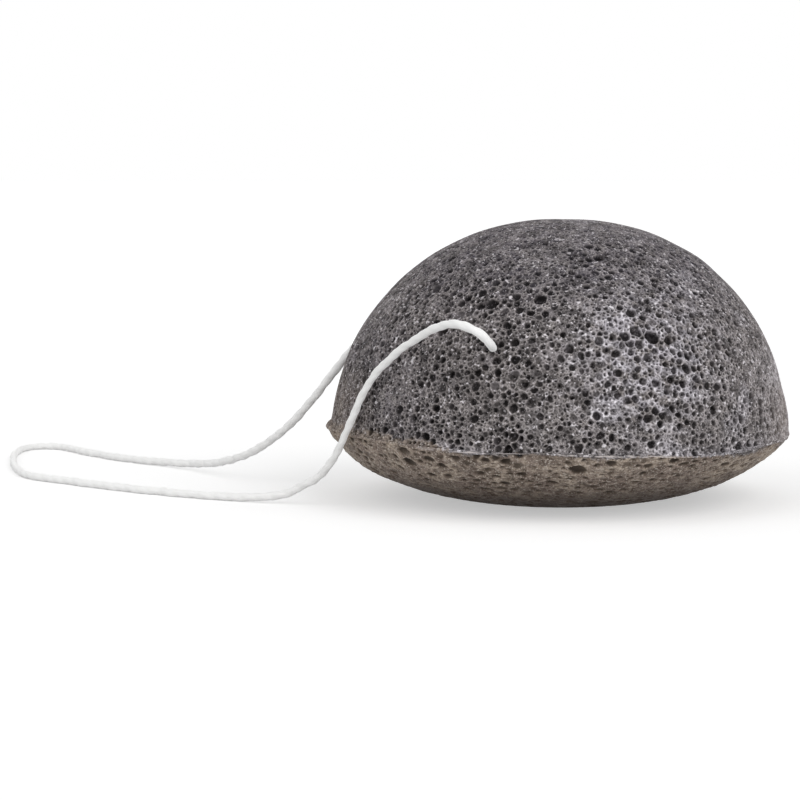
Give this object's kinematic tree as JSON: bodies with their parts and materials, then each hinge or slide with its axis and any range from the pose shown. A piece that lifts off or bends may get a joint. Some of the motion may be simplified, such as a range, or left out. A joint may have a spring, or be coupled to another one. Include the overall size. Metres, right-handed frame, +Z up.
{
  "type": "konjac sponge",
  "caption": "Half-ball konjac facial sponge of open-cell plant foam, threaded with a cotton string that forms a swinging hanging loop.",
  "frame": {"origin": "middle of the flat foot that the sponge stands on", "axes": "+Z up along the axis of the half ball; Y along the string's channel, +Y away from the picture's viewpoint; the loop lies towards -X"},
  "size_m": [0.1447, 0.1168, 0.0484],
  "materials": {
    "konjac_foam": "matt open-cell plant foam, charcoal grey",
    "cotton_string": "soft white cotton string"
  },
  "bodies": {
    "sponge": {"sponge_body": "konjac_foam"},
    "string": {"string_front_run": "cotton_string", "string_back_run": "cotton_string", "string_knot": "cotton_string", "string_loop": "cotton_string"}
  },
  "joints": [
    {"name": "loop_swing", "type": "hinge", "parent": "sponge", "child": "string", "pos_m": [-0.013, 0, 0.0285], "axis": [0, 1, 0], "range_deg": [0, 110]}
  ]
}
